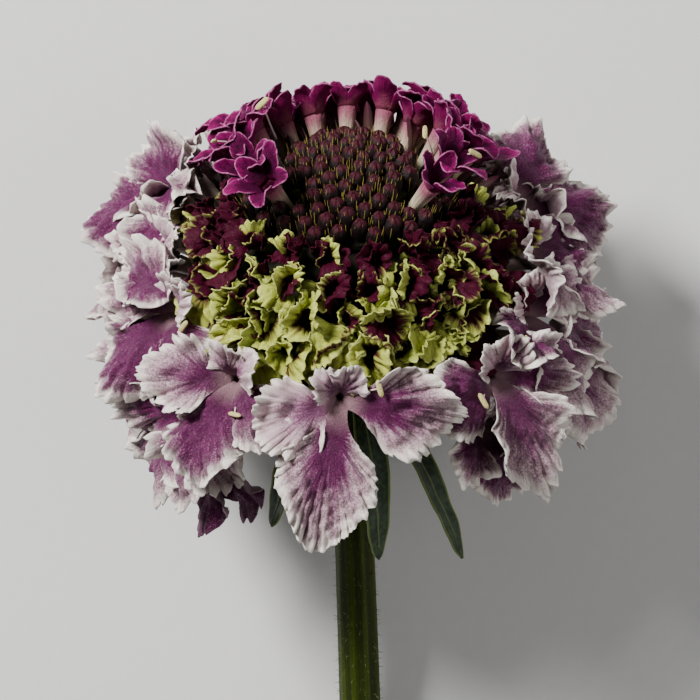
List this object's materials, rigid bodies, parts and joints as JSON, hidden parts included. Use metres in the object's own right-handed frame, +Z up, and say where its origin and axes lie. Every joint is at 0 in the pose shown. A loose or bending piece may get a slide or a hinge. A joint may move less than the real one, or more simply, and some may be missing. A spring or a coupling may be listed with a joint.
{
  "type": "scabiosa flower",
  "caption": "Cut pincushion flower lying down: domed head of closed buds, dark and pale green young florets and large ruffled ray florets, with green bracts on a curved stem.",
  "frame": {"origin": "centre of the bounding box in plan, at the height of the surface the flower lies on", "axes": "+Y along the stem towards the head, +X to the right of the head seen from above, +Z up"},
  "size_m": [0.0688, 0.1274, 0.0516],
  "materials": {
    "stem": "satin green stem with fine ridges",
    "bracts": "dark green leaf with paler edges",
    "disc_buds": "near-black burgundy buds",
    "crown_florets": "dark magenta petals with paler rims",
    "young_florets": "pale green petals blotched with burgundy",
    "ray_florets": "white and lilac petals with purple throats"
  },
  "bodies": {
    "root": {"stem": "stem", "bracts": "bracts", "disc_buds": "disc_buds", "crown_florets": "crown_florets", "young_florets": "young_florets", "ray_florets": "ray_florets"}
  },
  "joints": []
}
